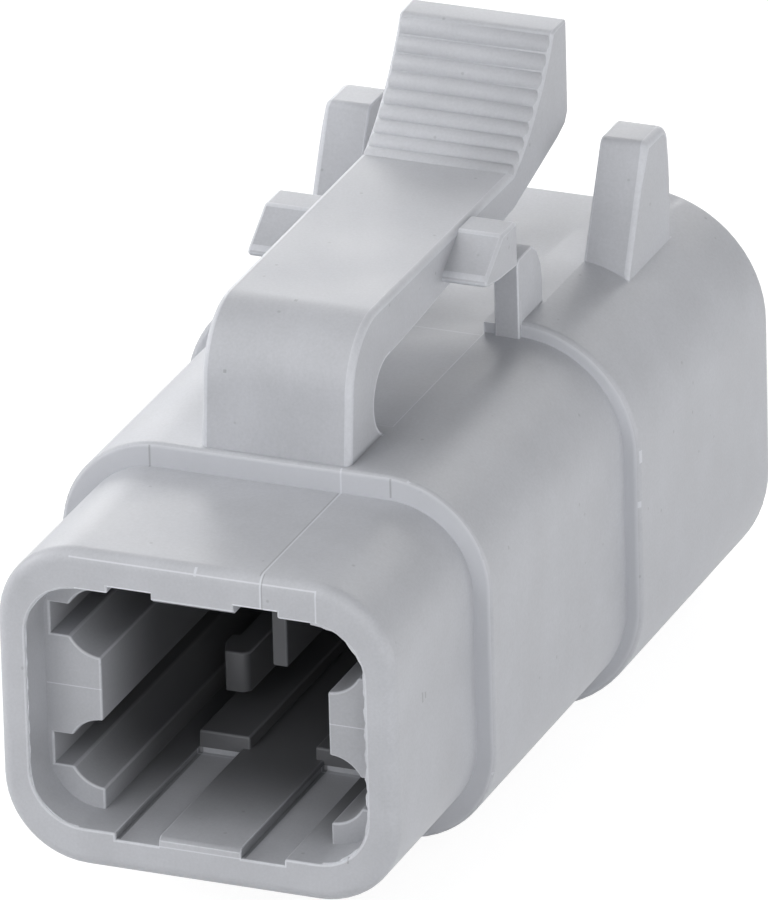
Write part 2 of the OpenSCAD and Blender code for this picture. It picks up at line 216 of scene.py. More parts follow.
# Camera fitted to the photograph: lens, turn and place in millimetres
LENS = 615.37
CAMERA_TURN = (
    (0.92708, -0.13218, 0.35078),
    (0.37407, 0.38669, -0.84294),
    (-0.02422, 0.91269, 0.40794),
)
CAMERA_PLACE = (160.3086, -370.4739, 188.9689)

# White that the camera sees in place of the floor, as share and strength, and the sky
FLOOR_WHITE = (0.7, 1.3)
SKY_COLOUR = (0.93, 0.95, 1, 1)
SKY_STRENGTH = 0.03

# Soft boxes: name, turn from the front and rise in degrees, size, power and distance
AIM = (0, 14, 0)
LAMPS = (
    ("key", 211, 21, (210, 210), 0.55, 450),
    ("back", 180, 20, (200, 200), 0.48, 450),
    ("left", 276, 24, (220, 200), 0.95, 450),
    ("left_high", 240, 45, (220, 220), 0.28, 450),
    ("high", 312, 52, (220, 220), 0.33, 450),
    ("top", 0, 85, (220, 220), 0.15, 450),
    ("front", 342, 28, (220, 260), 0.57, 450),
    ("front_right", 26, 10, (200, 200), 0.36, 450),
    ("right_high", 45, 38, (220, 220), 0.26, 450),
    ("low", 90, 0, (140, 12), 0.038, 90),
)


# ---------------------------------------------------------------- values that a user may change


class PlugSizes(bpy.types.PropertyGroup):
    """Sizes of the moulded detail."""

    edge: bpy.props.FloatProperty(
        name="Edge rounding",
        description="Width of the small rounding on the housing's moulded edges",
        default=0.07 * MM,
        min=0.01 * MM,
        max=0.2 * MM,
        precision=6,
        unit="LENGTH",
        subtype="DISTANCE",
    )
    lever_edge: bpy.props.FloatProperty(
        name="Lever rounding",
        description="Width of the rounding along the lever's top edges",
        default=0.2 * MM,
        min=0.05 * MM,
        max=0.3 * MM,
        precision=6,
        unit="LENGTH",
        subtype="DISTANCE",
    )
    ear_edge: bpy.props.FloatProperty(
        name="Ear rounding",
        description="Width of the rounding on the outer edges of the ears",
        default=0.24 * MM,
        min=0.05 * MM,
        max=0.3 * MM,
        precision=6,
        unit="LENGTH",
        subtype="DISTANCE",
    )
    lip_edge: bpy.props.FloatProperty(
        name="Seal lip rounding",
        description="Width of the rounding on the soft lips of the wire seal",
        default=0.12 * MM,
        min=0.05 * MM,
        max=0.4 * MM,
        precision=6,
        unit="LENGTH",
        subtype="DISTANCE",
    )
    flash: bpy.props.FloatProperty(
        name="Flash width",
        description="Width of the thin flash along the edge of the mouth",
        default=0.05 * MM,
        min=0,
        max=0.1 * MM,
        precision=6,
        unit="LENGTH",
        subtype="DISTANCE",
    )


class PlugColours(bpy.types.PropertyGroup):
    """Colours and grain of the materials."""

    plastic: bpy.props.FloatVectorProperty(
        name="Plastic",
        description="Colour of the moulded housing and lever",
        default=(0.46, 0.47, 0.50),
        min=0,
        max=1,
        size=3,
        subtype="COLOR",
    )
    retainer: bpy.props.FloatVectorProperty(
        name="Retainer",
        description="Colour of the seal retainer",
        default=(0.42, 0.43, 0.46),
        min=0,
        max=1,
        size=3,
        subtype="COLOR",
    )
    rubber: bpy.props.FloatVectorProperty(
        name="Seal",
        description="Colour of the silicone wire seal",
        default=(0.05, 0.052, 0.056),
        min=0,
        max=1,
        size=3,
        subtype="COLOR",
    )
    mottling: bpy.props.FloatProperty(
        name="Mottling size",
        description="Size of the soft cloudy patches in the plastic",
        default=2.4 * MM,
        min=0.5 * MM,
        max=8 * MM,
        precision=5,
        unit="LENGTH",
        subtype="DISTANCE",
    )
    grain: bpy.props.FloatProperty(
        name="Grain size",
        description="Size of the fine grain that the mould leaves on the plastic",
        default=0.09 * MM,
        min=0.02 * MM,
        max=0.5 * MM,
        precision=6,
        unit="LENGTH",
        subtype="DISTANCE",
    )
    roughness: bpy.props.FloatProperty(
        name="Roughness",
        description="Roughness of the plastic's satin surface",
        default=0.46,
        min=0.1,
        max=1,
        subtype="FACTOR",
    )


# ---------------------------------------------------------------- small helpers


def only(piece):
    """Select this object alone and make it the active one."""
    bpy.ops.object.select_all(action="DESELECT")
    bpy.context.view_layer.objects.active = piece
    piece.select_set(True)


def edit(piece, kind="VERT"):
    """Open a mesh for editing with nothing selected."""
    only(piece)
    bpy.ops.object.mode_set(mode="EDIT")
    bpy.ops.mesh.select_mode(type=kind)
    bpy.ops.mesh.select_all(action="DESELECT")


def done():
    """Leave edit mode."""
    bpy.ops.object.mode_set(mode="OBJECT")


def pick_faces(piece, test):
    """Open a mesh for editing with those faces selected whose corners pass the test."""
    done()
    mesh = piece.data
    for group in (mesh.vertices, mesh.edges, mesh.polygons):
        group.foreach_set("select", [False] * len(group))
    chosen = [f for f in mesh.polygons if test([mesh.vertices[v].co for v in f.vertices])]
    if not chosen:
        raise RuntimeError("nothing to select on " + piece.name)
    for face in chosen:
        face.select = True
    bpy.ops.object.mode_set(mode="EDIT")
    bpy.ops.mesh.select_mode(type="FACE")


def dress(piece, material):
    """Give a piece its material, with a lighter one, a painted highlight, for the edges that are
    rounded later.
    """
    piece.data.materials.clear()
    piece.data.materials.append(material)
    piece.data.materials.append(bpy.data.materials[material.name + "_edge"])


def cad_copy(node, name, material):
    """A merged copy of a CAD node in millimetres, with its flat faces made whole."""
    piece = bpy.data.objects.new(name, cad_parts[node].data.copy())
    bpy.context.scene.collection.objects.link(piece)
    dress(piece, material)
    piece.data.transform(Matrix.Scale(1 / MM, 4))
    only(piece)
    if piece.data.has_custom_normals:
        bpy.ops.mesh.customdata_custom_splitnormals_clear()
    edit(piece)
    bpy.ops.mesh.select_all(action="SELECT")
    bpy.ops.mesh.remove_doubles(threshold=MERGE)
    bpy.ops.mesh.dissolve_limited(angle_limit=math.radians(FLAT))
    done()
    return piece


def apply(piece, kind, **values):
    """Add a modifier with these values and apply it."""
    only(piece)
    modifier = piece.modifiers.new(kind, kind)
    for key, value in values.items():
        setattr(modifier, key, value)
    bpy.ops.object.modifier_apply(modifier=modifier.name)


def edge_room(mesh, edge, beside, corners):
    """How wide a rounding may be along an edge before it runs into what lies beside it."""
    room = 1.0
    for end in edge.vertices:
        start = mesh.vertices[end].co
        far = edge.vertices[1] if edge.vertices[0] == end else edge.vertices[0]
        along = (mesh.vertices[far].co - start).normalized()
        for other in beside[end]:
            if other == edge.index:
                continue
            key = mesh.edges[other].vertices
            tip = key[1] if key[0] == end else key[0]
            away = mesh.vertices[tip].co - start
            cosine = along.dot(away.normalized())
            if cosine < IN_LINE:
                continue
            sine = math.sqrt(max(0.0, 1 - cosine * cosine))
            share = SHARED_ROOM if tip in corners else FREE_ROOM
            room = min(room, share * away.length * sine)
    return room


def soften(piece, width, segments=2, angle=SHARP, special=None):
    """Round the sharp outward edges of a mesh in millimetres, as far as they have room.

    The function special may give an edge a width of its own, or nothing for the common one.
    """
    mesh = piece.data
    sides = {}
    for face in mesh.polygons:
        ring = list(face.vertices)
        for first, second in zip(ring, ring[1:] + ring[:1]):
            sides.setdefault((first, second), face.normal.copy())
    limit = math.radians(angle)
    sharp = []
    beside = [[] for _ in mesh.vertices]
    for edge in mesh.edges:
        first, second = edge.vertices
        one, two = sides.get((first, second)), sides.get((second, first))
        if one and two and one.angle(two, 0) > limit:
            along = mesh.vertices[second].co - mesh.vertices[first].co
            if one.cross(two).dot(along) > 0:
                sharp.append(edge)
        for end in edge.vertices:
            beside[end].append(edge.index)
    corners = {end for edge in sharp for end in edge.vertices}
    wishes = [0.0] * len(mesh.edges)
    for edge in sharp:
        own = special([mesh.vertices[v].co for v in edge.vertices]) if special else None
        wish = width if own is None else own
        wishes[edge.index] = min(wish, edge_room(mesh, edge, beside, corners))
    full = max(wishes)
    weights = [wish / full for wish in wishes]
    layer = mesh.attributes.new("bevel_weight_edge", "FLOAT", "EDGE")
    layer.data.foreach_set("value", weights)
    # The rounded faces take the second, lighter material: a painted highlight on the edges
    apply(
        piece,
        "BEVEL",
        width=full,
        segments=segments,
        limit_method="WEIGHT",
        use_clamp_overlap=False,
        material=1,
    )
    spent = piece.data.attributes.get("bevel_weight_edge")
    if spent:
        piece.data.attributes.remove(spent)


def smooth(piece, angle=SHARP):
    """Shade a piece smooth up to an angle, with its flat faces kept flat."""
    only(piece)
    bpy.ops.object.shade_smooth_by_angle(angle=math.radians(angle))
    apply(piece, "WEIGHTED_NORMAL", keep_sharp=True, weight=50)


def join(piece, parts):
    """Make the parts one object with the piece."""
    only(piece)
    for part in parts:
        part.select_set(True)
    bpy.ops.object.join()


def turned_out(piece):
    """Make every face of a piece point outwards."""
    edit(piece)
    bpy.ops.mesh.select_all(action="SELECT")
    bpy.ops.mesh.normals_make_consistent(inside=False)
    done()


def copy_of(piece, name):
    """A copy of an object with its own mesh."""
    twin = bpy.data.objects.new(name, piece.data.copy())
    bpy.context.scene.collection.objects.link(twin)
    return twin


def to_metres(piece):
    """Turn a mesh in millimetres into metres, with its object unscaled at the origin."""
    only(piece)
    piece.scale = (MM, MM, MM)
    bpy.ops.object.transform_apply(location=True, rotation=True, scale=True)


def finish_piece(piece, body, node):
    """Put a piece in the place of its node and let it ride on its body."""
    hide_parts(node)
    if body:
        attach(piece, body)


# ---------------------------------------------------------------- outlines of the lever


def arc(centre, radius, start, end, count=8):
    """Points on an arc in Y and Z, from one angle to another in degrees."""
    points = []
    for step in range(count + 1):
        angle = math.radians(start + (end - start) * step / count)
        points.append((centre[0] + radius * math.cos(angle), centre[1] + radius * math.sin(angle)))
    return points


def half_width(y):
    """Half the lever's width at a distance from the mating face."""
    if y < LUG_FRONT:
        return BEAM_HALF + BEAM_GAIN * (y - COLLAR_Y) / (LUG_FRONT - COLLAR_Y)
    return GRIP_HALF + GRIP_GAIN * (y - LUG_FRONT) / (PAD_END - LUG_FRONT)


def under(y):
    """Height of the lever's underside."""
    if y < GRIP_Y:
        return UNDER_Z - UNDER_SLOPE * (GRIP_Y - y)
    return UNDER_Z + GRIP_SLOPE * (y - GRIP_Y)


def lever_outline():
    """Side view of the lever and its foot, from the strip to the thumb pad and back."""
    low = STRIP_Z - 0.08
    bend_z = LEVER_Z - BEND_R
    front = [(6.47 + 0.2 * (z - STRIP_Z) / (bend_z - STRIP_Z), z) for z in (low, 6.3, 6.8, 7.3)]
    points = front + arc((6.67 + BEND_R, bend_z), BEND_R, 180, 90, 16)
    points += arc(GRIP_CENTRE, GRIP_R, -63.72, -29, 14)
    points += CROWN
    points += [(PAD_END, 10.21), (PAD_END - 0.25, 9.86), (PAD_END - 0.9, 9.61)]
    points += [(GRIP_Y, UNDER_Z), (SLOT[0] + SLOT_R, 8.11)]
    points += arc(SLOT, SLOT_R, 90, 270, 16)
    return points + [(SLOT[0], low)]


def valley(number):
    """Angle of a valley between the ribs, seen from the centre of the grip's hollow."""
    first, step, shrink = VALLEYS
    return first - step * number + shrink * number * number


def upper(points):
    """True for what lies on the lever's top, front and rear, and not on its underside."""
    return all(
        math.hypot(p.y - SLOT[0], p.z - SLOT[1]) > SLOT_R + 0.1
        and (p.y < 8.4 or p.z > under(p.y) + 0.15)
        for p in points
    )


def side_body(name, outline, left, right):
    """A closed body with this outline in Y and Z, from one side to the other."""
    bpy.ops.object.select_all(action="DESELECT")
    bpy.ops.mesh.primitive_circle_add(vertices=len(outline), radius=1, fill_type="NGON")
    piece = bpy.context.active_object
    piece.name = name
    dress(piece, housing_plastic())
    for vertex, (y, z) in zip(piece.data.vertices, outline):
        vertex.co = (left(y), y, z)
    edit(piece, "FACE")
    bpy.ops.mesh.select_all(action="SELECT")
    bpy.ops.mesh.extrude_region_move(TRANSFORM_OT_translate={"value": (0.001, 0, 0)})
    done()
    for vertex in piece.data.vertices:
        if vertex.select:
            vertex.co.x = right(vertex.co.y)
    turned_out(piece)
    return piece


# ---------------------------------------------------------------- materials


def node_at(tree, kind, x, y, inputs=None, **values):
    """Add a shader node at a place in the editor, with settings and values for its inputs."""
    node = tree.nodes.new(kind)
    node.location = (x, y)
    for key, value in values.items():
        setattr(node, key, value)
    for key, value in (inputs or {}).items():
        node.inputs[key].default_value = value
    return node


def noise(tree, place, x, y, **inputs):
    """Add a noise texture in the object's own space."""
    node = node_at(tree, "ShaderNodeTexNoise", x, y, inputs)
    tree.links.new(place.outputs["Object"], node.inputs["Vector"])
    return node.outputs["Fac"]


def ramp(tree, x, y, value, places, colours):
    """Add a ramp between two colours and give its result."""
    node = node_at(tree, "ShaderNodeValToRGB", x, y)
    for element, place, colour in zip(node.color_ramp.elements, places, colours):
        element.position = place
        element.color = (*colour, 1)
    tree.links.new(value, node.inputs["Fac"])
    return node.outputs["Color"]


def mapped(tree, x, y, value, old, new=(0, 1), **values):
    """Map one range of a value onto another and give the result."""
    inputs = {"From Min": old[0], "From Max": old[1], "To Min": new[0], "To Max": new[1]}
    node = node_at(tree, "ShaderNodeMapRange", x, y, inputs, **values)
    tree.links.new(value, node.inputs["Value"])
    return node.outputs["Result"]


def bumped(tree, x, y, height, strength, shader):
    """Let a height stand out on the shader's surface."""
    inputs = {"Strength": strength, "Distance": BUMP_DEPTH}
    node = node_at(tree, "ShaderNodeBump", x, y, inputs)
    tree.links.new(height, node.inputs["Height"])
    tree.links.new(node.outputs["Normal"], shader.inputs["Normal"])


def scaled(colour, share):
    """A colour made lighter or darker, no channel over 1."""
    return [min(1, channel * share) for channel in colour]


def math_node(tree, operation, first, second=None, third=None):
    """Add a math node fed by sockets or numbers, and give its result."""
    node = tree.nodes.new("ShaderNodeMath")
    node.operation = operation
    for socket, value in zip(node.inputs, (first, second, third)):
        if isinstance(value, (int, float)):
            socket.default_value = value
        elif value:
            tree.links.new(value, socket)
    return node.outputs[0]


def in_box(tree, axes, box):
    """A mask that is 1 inside a box, which is given in millimetres."""
    mask = None
    for axis, middle, half in zip(axes, box[::2], box[1::2]):
        inside = math_node(tree, "COMPARE", axis, middle * MM, half * MM)
        mask = math_node(tree, "MULTIPLY", mask, inside) if mask else inside
    return mask


def any_box(tree, axes, boxes):
    """A mask that is 1 inside any of these boxes."""
    mask = in_box(tree, axes, boxes[0])
    for box in boxes[1:]:
        mask = math_node(tree, "MAXIMUM", mask, in_box(tree, axes, box))
    return mask


def slot_rim_highlight(tree, axes):
    """A mask for the thin painted highlight on the rounded rim of the hollow of the bend."""
    squares = []
    for axis, middle in zip(axes[1:], SLOT):
        away = math_node(tree, "SUBTRACT", axis, middle * MM)
        squares.append(math_node(tree, "POWER", away, 2))
    reach = math_node(tree, "SQRT", math_node(tree, "ADD", *squares))
    ring = math_node(tree, "COMPARE", reach, (SLOT_R + RIM_OUT) * MM, RIM_HALF * MM)
    bend = math_node(tree, "LESS_THAN", axes[1], (SLOT[0] + RIM_BACK) * MM)
    across = math_node(tree, "ABSOLUTE", axes[0])
    side = math_node(tree, "COMPARE", across, RIM_X[0] * MM, RIM_X[1] * MM)
    return math_node(tree, "MULTIPLY", math_node(tree, "MULTIPLY", ring, bend), side)


def tinted(tree, mask, below, colour, strength):
    """Mix a colour over another where a mask says so, and give the result."""
    mix = node_at(tree, "ShaderNodeMix", -300, 300, data_type="RGBA", blend_type="MIX")
    share = math_node(tree, "MULTIPLY", mask, strength)
    tree.links.new(share, mix.inputs["Factor"])
    tree.links.new(below, mix.inputs["A"])
    mix.inputs["B"].default_value = (*colour, 1)
    return mix.outputs["Result"]


def new_material(name, colour):
    """A material with nodes, its principled shader and the object's own coordinates."""
    material = bpy.data.materials.new(name)
    material.use_nodes = True
    material.diffuse_color = (*colour, 1)
    tree = material.node_tree
    place = node_at(tree, "ShaderNodeTexCoord", -1400, 0)
    return material, tree, tree.nodes["Principled BSDF"], place


def marks_and_painted_light(tree, axes, base, colour):
    """Paint shade into the bay by depth over a colour, with painted shadow in the corners of the
    floor's grooves, then painted light on the ring faces, the bright lines with their painted
    highlights, and the dark lines.
    """
    # Painted shade: the bay's colour darkens with depth
    reach = (0, BAY_DARK_Y * MM)
    depth = mapped(tree, -850, -600, axes[1], reach, interpolation_type="SMOOTHSTEP")
    inside = in_box(tree, axes, BAY_BOX)
    bay = math_node(tree, "MULTIPLY", inside, depth)
    # Painted shadow in the corners of the floor's grooves
    corner = math_node(tree, "MULTIPLY", any_box(tree, axes, GROOVE_SHADE), GROOVE_STRENGTH)
    bay = math_node(tree, "MAXIMUM", bay, corner)
    # Painted light on the front faces of the rings
    rings = math_node(tree, "SUBTRACT", any_box(tree, axes, RING_FACES), inside)
    rings = math_node(tree, "MAXIMUM", rings, 0)
    # Painted highlights: the bright lines and the rim of the bend's hollow
    bright = any_box(tree, axes, BRIGHT_LINES)
    bright = math_node(tree, "MAXIMUM", bright, slot_rim_highlight(tree, axes))
    tone = tinted(tree, bay, base, scaled(colour, BAY_TINT), BAY_SHADE)
    tone = tinted(tree, rings, tone, scaled(colour, RING_TINT), RING_STRENGTH)
    tone = tinted(tree, bright, tone, scaled(colour, BRIGHT_TINT), BRIGHT_STRENGTH)
    dark = any_box(tree, axes, DARK_LINES)
    return tinted(tree, dark, tone, scaled(colour, DARK_TINT), DARK_STRENGTH)


def plastic_material(name, colour):
    """Satin moulded plastic with soft mottling, fine grain, mould lines and a few specks, and with
    painted shade, painted shadow, painted light and painted highlights.
    """
    found = bpy.data.materials.get(name)
    if found:
        return found
    # A lighter twin for the rounded edges, a painted highlight
    if not name.endswith("_edge"):
        plastic_material(name + "_edge", tuple(c * EDGE_HIGHLIGHT_GAIN for c in colour))
    values = bpy.context.scene.plug_colours
    material, tree, shader, place = new_material(name, colour)
    link = tree.links.new
    clouds = noise(tree, place, -1150, 300, Scale=1 / values.mottling, Detail=4, Roughness=0.55)
    fine = noise(tree, place, -1150, 0, Scale=1 / values.grain, Detail=3, Roughness=0.6)
    shades = [[c * tint for c in colour] for tint in CLOUD_TINTS]
    shade = ramp(tree, -850, 300, clouds, NOISE_SPAN, shades)

    speck = node_at(tree, "ShaderNodeTexVoronoi", -1150, -300, {"Scale": SPECK_SCALE})
    link(place.outputs["Object"], speck.inputs["Vector"])
    tones = ((SPECK_TONE,) * 3, (1, 1, 1))
    spot = ramp(tree, -850, -300, speck.outputs["Distance"], SPECK_RADII, tones)
    mix = node_at(tree, "ShaderNodeMix", -500, 200, data_type="RGBA", blend_type="MULTIPLY")
    mix.inputs["Factor"].default_value = 0.5
    link(shade, mix.inputs["A"])
    link(spot, mix.inputs["B"])

    grained = node_at(tree, "ShaderNodeVectorMath", -300, 100, operation="SCALE")
    link(mix.outputs["Result"], grained.inputs[0])
    link(mapped(tree, -850, 0, fine, NOISE_SPAN, GRAIN_TINTS), grained.inputs["Scale"])
    parts = node_at(tree, "ShaderNodeSeparateXYZ", -1150, -600)
    link(place.outputs["Object"], parts.inputs[0])
    tone = marks_and_painted_light(tree, parts.outputs, grained.outputs[0], colour)
    link(tone, shader.inputs["Base Color"])

    satin = [values.roughness + spread for spread in ROUGH_SPREAD]
    link(mapped(tree, -500, -50, clouds, NOISE_SPAN, satin), shader.inputs["Roughness"])
    bumped(tree, -500, -350, fine, 0.12, shader)
    shader.inputs["Specular IOR Level"].default_value = 0.4
    return material


def housing_plastic():
    """The plastic of the housing and its lever."""
    return plastic_material("plug_plastic", tuple(bpy.context.scene.plug_colours.plastic))


def retainer_plastic():
    """The plastic of the seal retainer."""
    return plastic_material("plug_retainer", tuple(bpy.context.scene.plug_colours.retainer))


def seal_rubber(name="plug_seal"):
    """Matt silicone with a faint bloom."""
    found = bpy.data.materials.get(name)
    if found:
        return found
    colour = tuple(bpy.context.scene.plug_colours.rubber)
    if not name.endswith("_edge"):
        seal_rubber(name + "_edge")
    material, tree, shader, place = new_material(name, colour)
    bloom = noise(tree, place, -950, 200, Scale=700, Detail=5)
    shade = ramp(tree, -650, 200, bloom, (0.35, 0.75), (colour, [c * 1.5 for c in colour]))
    tree.links.new(shade, shader.inputs["Base Color"])
    skin = noise(tree, place, -950, -200, Scale=9000)
    bumped(tree, -600, -200, skin, 0.2, shader)
    shader.inputs["Roughness"].default_value = 0.62
    return material


# ---------------------------------------------------------------- pieces


def over_foot(points):
    """True for a face of the lever's foot, which stands on the collar."""
    return max(p.z for p in points) > BODY_TOP + 0.01 and all(
        abs(p.x) < FOOT_X and FOOT_Y[0] < p.y < FOOT_Y[1] and p.z > BODY_TOP - 0.01
        for p in points
    )


class PLUG_OT_housing_shell(bpy.types.Operator):
    """Build the moulded housing with rounded edges and no lever foot"""

    bl_idname = "plug.housing_shell"
    bl_label = "Housing shell"

    def execute(self, context):
        sizes = context.scene.plug_sizes
        piece = cad_copy("housing", "housing_shell", housing_plastic())
        for place in (vertex.co for vertex in piece.data.vertices):
            if abs(abs(place.x) - SLIT_X) < 0.004 and place.y < BELL_Y:
                place.x *= (SLIT_X - SLIT_MOVE) / SLIT_X
            if abs(place.y - PAD_FRONT) < 0.01 and abs(abs(place.x) - PAD_X) < 0.01:
                place.y = PAD_NEW_FRONT if abs(place.z) < PAD_Z + 0.01 else PAD_NEW_FOOT
        pick_faces(piece, over_foot)
        bpy.ops.mesh.delete(type="FACE")
        bpy.ops.mesh.select_mode(type="EDGE")
        bpy.ops.mesh.select_all(action="DESELECT")
        bpy.ops.mesh.select_non_manifold()
        bpy.ops.mesh.edge_face_add()
        bpy.ops.mesh.select_all(action="SELECT")
        bpy.ops.mesh.dissolve_limited(angle_limit=math.radians(FLAT))
        done()
        soften(piece, sizes.edge / MM, 3, special=self.own_width)
        join(piece, [self.flash(*row) for row in FLASHES])
        to_metres(piece)
        smooth(piece)
        finish_piece(piece, "shell", "housing")
        return {"FINISHED"}

    def flash(self, name, side, strength):
        """A thin ragged web of plastic along one side of the mouth, as the mould left it."""
        path = []
        for turn, sign in ((90, 1), (0, -1)):
            for step in range(CORNER_COUNT):
                angle = math.radians(turn - CORNER_STEP * step)
                across = (math.cos(angle), math.sin(angle))
                path.append((MOUTH_X - MOUTH_R, sign * (MOUTH_Z - MOUTH_R), across))
            if sign > 0:
                heights = [SIDE_TOP - SIDE_STEP * step for step in range(SIDE_COUNT)]
                path += [(MOUTH_X - MOUTH_R, z, (1, 0)) for z in heights]
        outer, inner = [], []
        for number, (x, z, (over, up)) in enumerate(path):
            wave = 0.55 + 0.3 * math.sin(number * 0.9) + 0.15 * math.sin(number * 2.3 + side)
            inward = bpy.context.scene.plug_sizes.flash / MM * strength * wave
            for line, radius in ((outer, MOUTH_R + FLASH_ROOT), (inner, MOUTH_R - inward)):
                line.append((side * (x + radius * over), z + radius * up))
        outline = outer + inner[::-1]
        piece = side_body(name, outline, lambda y: FLASH_Y[0], lambda y: FLASH_Y[1])
        # The flash takes the lighter edge material: a painted highlight on a real web of plastic
        for face in piece.data.polygons:
            face.material_index = 1
        piece.data.transform(SWAP_XY)
        turned_out(piece)
        return piece

    def own_width(self, points):
        """A wider rounding on the ears, a narrow one on the pads, and none along the ledge."""
        if all(abs(p.x) > EAR_X and p.z > EAR_LOW for p in points):
            return bpy.context.scene.plug_sizes.ear_edge / MM
        if all(abs(abs(p.x) - LEDGE_X) < 0.03 and BODY_TOP < p.z < LEDGE_TOP for p in points):
            return 0
        pad = (PAD_X + 0.02, PAD_Z + 0.02)
        if all(p.y < 0.2 and abs(p.x) < pad[0] and abs(p.z) < pad[1] for p in points):
            return PAD_EDGE
        return None


class PLUG_OT_latch_lever(bpy.types.Operator):
    """Build the sprung lever in one with its foot"""

    bl_idname = "plug.latch_lever"
    bl_label = "Latch lever"

    def execute(self, context):
        piece = side_body("lever", lever_outline(), lambda y: -half_width(y), half_width)
        edit(piece)
        bpy.ops.mesh.select_all(action="SELECT")
        bpy.ops.mesh.bisect(plane_co=(0, LUG_FRONT, 0), plane_no=(0, 1, 0))
        done()
        soften(piece, LEVER_LOW_EDGE, 4, special=self.own_width)
        join(piece, [*self.lugs(), *self.ribs()])
        to_metres(piece)
        smooth(piece)
        finish_piece(piece, None, "latch_lever")
        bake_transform(piece)
        return {"FINISHED"}

    def own_width(self, points):
        """A wide rounding on the beam and the bend that narrows along the grip."""
        if not upper(points):
            return None
        middle = sum(p.y for p in points) / len(points)
        share = min(1.0, max(0.0, (middle - GRIP_Y - GRIP_FADE[0]) / GRIP_FADE[1]))
        return bpy.context.scene.plug_sizes.lever_edge / MM * (1 - share) + GRIP_EDGE * share

    def lugs(self):
        """The two side lugs, each with a ramp in front and a square back."""
        top = LEVER_Z - 0.08
        outline = [
            (LUG_FRONT + 0.02, LUG_LOW + 0.36),
            (LUG_FRONT + 0.12, LUG_LOW + 0.56),
            (LUG_FRONT + 1.44, top),
            (LUG_BACK, top),
            (LUG_BACK, LUG_LOW - 0.02),
            (LUG_FRONT + 1.1, LUG_LOW + 0.1),
            (LUG_FRONT + 0.14, LUG_LOW + 0.26),
        ]
        right = side_body("lug_right", outline, lambda y: LUG_SPAN[0], lambda y: LUG_SPAN[1])
        soften(right, LUG_EDGE, 3, LUG_ANGLE)
        left = copy_of(right, "lug_left")
        left.data.transform(Matrix.Scale(-1, 4, (1, 0, 0)))
        turned_out(left)
        return [right, left]

    def ribs(self):
        """The grip ribs on the thumb pad, each a bar with rounded ends."""
        bpy.ops.object.select_all(action="DESELECT")
        bpy.ops.mesh.primitive_uv_sphere_add(segments=32, ring_count=12, radius=RIB_R)
        first = bpy.context.active_object
        dress(first, housing_plastic())
        first.data.transform(Matrix.Rotation(math.radians(90), 4, "Y"))
        first.data.transform(Matrix.Scale(RIB_END / RIB_R, 4, (1, 0, 0)))
        bars = []
        for number in range(RIB_COUNT):
            angle = math.radians((valley(number) + valley(number + 1)) / 2)
            reach = GRIP_R + RIB_R - RIB_H
            bar = copy_of(first, f"rib_{number + 1}")
            y = GRIP_CENTRE[0] + reach * math.cos(angle)
            z = GRIP_CENTRE[1] + reach * math.sin(angle)
            end = half_width(y) - RIB_INSET
            for vertex in bar.data.vertices:
                vertex.co.x += math.copysign(end, vertex.co.x) if abs(vertex.co.x) > 0.0001 else 0
            bar.data.transform(Matrix.Translation((0, y, z)))
            bars.append(bar)
        bpy.data.objects.remove(first)
        return bars


class PLUG_OT_wire_seal(bpy.types.Operator):
    """Build the soft wire seal with rounded lips"""

    bl_idname = "plug.wire_seal"
    bl_label = "Wire seal"

    def execute(self, context):
        piece = cad_copy("wire_seal", "seal_block", seal_rubber())
        soften(piece, context.scene.plug_sizes.lip_edge / MM, 3)
        to_metres(piece)
        smooth(piece, SEAL_SHARP)
        finish_piece(piece, "shell", "wire_seal")
        return {"FINISHED"}


class PLUG_OT_seal_retainer(bpy.types.Operator):
    """Build the retainer plate with its four wire ports"""

    bl_idname = "plug.seal_retainer"
    bl_label = "Seal retainer"

    def execute(self, context):
        sizes = context.scene.plug_sizes
        piece = cad_copy("seal_retainer", "retainer_plate", retainer_plastic())
        soften(piece, sizes.edge / MM)
        to_metres(piece)
        smooth(piece)
        finish_piece(piece, "shell", "seal_retainer")
        return {"FINISHED"}


# ---------------------------------------------------------------- stage


def white_for_camera(tree, surface, level, strength=1.0):
    """Mix a surface with plain white where the camera, a gloss or a glass ray meets it."""
    rays = node_at(tree, "ShaderNodeLightPath", -600, 300)
    seen = rays.outputs["Is Camera Ray"]
    for x, kind in ((-400, "Is Glossy Ray"), (-200, "Is Transmission Ray")):
        both = node_at(tree, "ShaderNodeMath", x, 300, operation="ADD", use_clamp=True)
        tree.links.new(seen, both.inputs[0])
        tree.links.new(rays.outputs[kind], both.inputs[1])
        seen = both.outputs[0]
    share = math_node(tree, "MULTIPLY", seen, level)
    inputs = {"Color": (1, 1, 1, 1), "Strength": strength}
    white = node_at(tree, "ShaderNodeEmission", 0, 0, inputs)
    mix = node_at(tree, "ShaderNodeMixShader", 250, 100)
    for socket, source in zip(mix.inputs, (share, surface, white.outputs[0])):
        tree.links.new(source, socket)
    return mix.outputs[0]


def add_lamp(name, turn, rise, size, power, reach):
    """Add a soft box that is aimed at the plug's middle."""
    turn, rise = math.radians(turn), math.radians(rise)
    level = math.cos(rise)
    away = Vector((math.sin(turn) * level, -math.cos(turn) * level, math.sin(rise)))
    aim = Vector(AIM)
    place = aim + away * reach
    lamp = bpy.data.lights.new(name, "AREA")
    lamp.shape = "RECTANGLE"
    lamp.size = size[0] * MM
    lamp.size_y = size[1] * MM
    lamp.energy = power
    box = bpy.data.objects.new(name, lamp)
    box.location = place * MM
    box.rotation_euler = (aim - place).to_track_quat("-Z", "Y").to_euler()
    bpy.context.scene.collection.objects.link(box)


